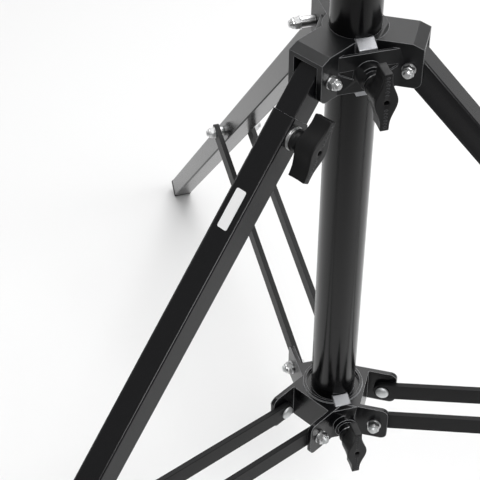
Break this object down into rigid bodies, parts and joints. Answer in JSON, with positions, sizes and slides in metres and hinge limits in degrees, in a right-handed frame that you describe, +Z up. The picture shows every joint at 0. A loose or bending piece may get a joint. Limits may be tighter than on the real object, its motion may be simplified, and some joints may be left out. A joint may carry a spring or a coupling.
{
  "type": "crank lighting stand",
  "caption": "Crank-up lighting stand: black column on folding braced legs with one levelling leg, clamp collars with T-knobs, rack-driven riser, upper riser and a top spigot socket.",
  "frame": {"origin": "on the floor, under the middle of the spread stand's footprint box; the column's axis is 190.3 mm from it along +Y", "axes": "+Z up along the column; the levelling leg points along -Y, the other two legs 30 degrees above +X and -X; the knobs and the crank face 30 degrees below +X"},
  "size_m": [1.3728, 1.189, 1.8228],
  "materials": {
    "casting": "fine-textured black powder coat",
    "black_gloss": "gloss black lacquer",
    "black_satin": "satin black powder coat",
    "chrome": "bright chrome",
    "zinc": "bright zinc plate",
    "raw_alu": "raw milled aluminium",
    "steel": "machined steel",
    "bronze": "sintered bronze",
    "nylon": "glass-filled nylon",
    "pom": "plain acetal",
    "rubber": "moulded rubber",
    "label": "matt white film",
    "brake": "pressed friction lining"
  },
  "bodies": {
    "lower_collar": {"lower_collar": "casting", "lower_clamp_shoe": "raw_alu", "lower_pivot_screws": "zinc", "lower_pivot_nuts": "zinc"},
    "lower_knob": {"lower_t_knob": "nylon", "lower_knob_stud": "zinc"},
    "column": {"column_tube": "black_gloss", "column_plug": "pom", "column_bush": "pom", "gear_housing": "casting", "gear_cover": "casting", "cover_screws": "zinc", "shaft_bushes": "bronze", "brake_pads": "brake"},
    "upper_collar": {"upper_collar": "casting", "upper_clamp_shoe": "raw_alu", "leg_pivot_bolts": "zinc", "leg_pivot_nuts": "zinc", "pivot_spacer": "zinc"},
    "upper_knob": {"upper_t_knob": "nylon", "upper_knob_stud": "zinc"},
    "leg_a": {"leg_a_inner_tube": "black_satin", "leg_a_guide": "pom"},
    "leg_a_sleeve": {"leg_a_outer_tube": "black_satin", "leg_a_foot": "rubber", "leg_a_knob_boss": "zinc", "leg_label": "label"},
    "leg_knob": {"leg_t_knob": "nylon", "leg_knob_stud": "zinc"},
    "leg_b": {"leg_b_tube": "black_satin", "leg_b_foot": "rubber"},
    "leg_c": {"leg_c_tube": "black_satin", "leg_c_foot": "rubber"},
    "strut_a": {"strut_a_bars": "black_satin", "strut_a_bolts": "zinc"},
    "strut_b": {"strut_b_bars": "black_satin", "strut_b_bolts": "zinc"},
    "strut_c": {"strut_c_bars": "black_satin", "strut_c_bolts": "zinc"},
    "riser": {"riser_tube": "chrome", "riser_rack": "steel", "riser_guide": "pom", "riser_collar": "casting", "riser_bush": "pom"},
    "riser_knob": {"riser_t_knob": "nylon", "riser_knob_stud": "zinc"},
    "pinion": {"pinion_shaft": "steel", "drive_gear": "steel"},
    "crank": {"crank_shaft": "steel", "brake_disc": "steel", "crank_arm": "black_satin", "crank_nut": "zinc", "grip_pin": "zinc"},
    "grip": {"crank_grip": "nylon"},
    "top_riser": {"top_riser_tube": "chrome", "top_riser_guide": "pom", "top_socket": "casting"},
    "socket_knob": {"socket_t_knob": "nylon", "socket_knob_stud": "zinc"}
  },
  "joints": [
    {"name": "column_drop", "type": "slide", "parent": "lower_collar", "child": "column", "axis": [0, 0, 1], "range_m": [-0.15, 0]},
    {"name": "leg_fold", "type": "slide", "parent": "lower_collar", "child": "upper_collar", "axis": [0, 0, 1], "range_m": [0, 0.45685]},
    {"name": "leg_a_pivot", "type": "hinge", "parent": "upper_collar", "child": "leg_a", "pos_m": [0, 0.1343, 0.797], "axis": [1, 0, 0], "range_deg": [0, 42.35]},
    {"name": "leg_b_pivot", "type": "hinge", "parent": "upper_collar", "child": "leg_b", "pos_m": [0.0485, 0.2183, 0.797], "axis": [-0.5, 0.866, 0], "range_deg": [0, 42.35]},
    {"name": "leg_c_pivot", "type": "hinge", "parent": "upper_collar", "child": "leg_c", "pos_m": [-0.0485, 0.2183, 0.797], "axis": [-0.5, -0.866, 0], "range_deg": [0, 42.35]},
    {"name": "strut_a_pivot", "type": "hinge", "parent": "lower_collar", "child": "strut_a", "pos_m": [0, 0.1343, 0.31], "axis": [-1, 0, 0], "range_deg": [0, 79.12]},
    {"name": "strut_b_pivot", "type": "hinge", "parent": "lower_collar", "child": "strut_b", "pos_m": [0.0485, 0.2183, 0.31], "axis": [0.5, -0.866, 0], "range_deg": [0, 79.12]},
    {"name": "strut_c_pivot", "type": "hinge", "parent": "lower_collar", "child": "strut_c", "pos_m": [-0.0485, 0.2183, 0.31], "axis": [0.5, 0.866, 0], "range_deg": [0, 79.12]},
    {"name": "leg_level", "type": "slide", "parent": "leg_a", "child": "leg_a_sleeve", "axis": [0, -0.673, -0.7396], "range_m": [0, 0.11]},
    {"name": "lower_knob_turn", "type": "hinge", "parent": "lower_collar", "child": "lower_knob", "pos_m": [0.06495, 0.1528, 0.31], "axis": [0.866, -0.5, 0], "range_deg": [0, 720]},
    {"name": "upper_knob_turn", "type": "hinge", "parent": "upper_collar", "child": "upper_knob", "pos_m": [0.06495, 0.1528, 0.797], "axis": [0.866, -0.5, 0], "range_deg": [0, 720]},
    {"name": "leg_knob_turn", "type": "hinge", "parent": "leg_a_sleeve", "child": "leg_knob", "pos_m": [0.03, 0.09291, 0.75151], "axis": [1, 0, 0], "range_deg": [0, 720]},
    {"name": "riser_crank", "type": "slide", "parent": "column", "child": "riser", "axis": [0, 0, 1], "range_m": [0, 0.75]},
    {"name": "pinion_turn", "type": "hinge", "parent": "column", "child": "pinion", "pos_m": [0.02854, 0.17383, 1.59], "axis": [0.5, 0.866, 0], "range_deg": [-1, 3582]},
    {"name": "crank_turn", "type": "hinge", "parent": "column", "child": "crank", "pos_m": [0.05452, 0.15883, 1.59], "axis": [0.5, 0.866, 0], "range_deg": [-10745, 1]},
    {"name": "grip_turn", "type": "hinge", "parent": "crank", "child": "grip", "pos_m": [0.10227, 0.24153, 1.465], "axis": [0.5, 0.866, 0], "continuous": true},
    {"name": "top_riser_slide", "type": "slide", "parent": "riser", "child": "top_riser", "axis": [0, 0, 1], "range_m": [0, 0.7]},
    {"name": "riser_knob_turn", "type": "hinge", "parent": "riser", "child": "riser_knob", "pos_m": [0.04763, 0.1628, 1.697], "axis": [0.866, -0.5, 0], "range_deg": [0, 720]},
    {"name": "socket_knob_turn", "type": "hinge", "parent": "top_riser", "child": "socket_knob", "pos_m": [0.0433, 0.1653, 1.7913], "axis": [0.866, -0.5, 0], "range_deg": [0, 720]}
  ],
  "couplings": [
    {"joint": "leg_a_pivot", "follows": "leg_fold", "rad_per_m": 1.616},
    {"joint": "leg_b_pivot", "follows": "leg_fold", "rad_per_m": 1.616},
    {"joint": "leg_c_pivot", "follows": "leg_fold", "rad_per_m": 1.616},
    {"joint": "strut_a_pivot", "follows": "leg_fold", "rad_per_m": 3.0206},
    {"joint": "strut_b_pivot", "follows": "leg_fold", "rad_per_m": 3.0206},
    {"joint": "strut_c_pivot", "follows": "leg_fold", "rad_per_m": 3.0206},
    {"joint": "pinion_turn", "follows": "riser_crank", "rad_per_m": 83.333},
    {"joint": "crank_turn", "follows": "riser_crank", "rad_per_m": -250}
  ]
}
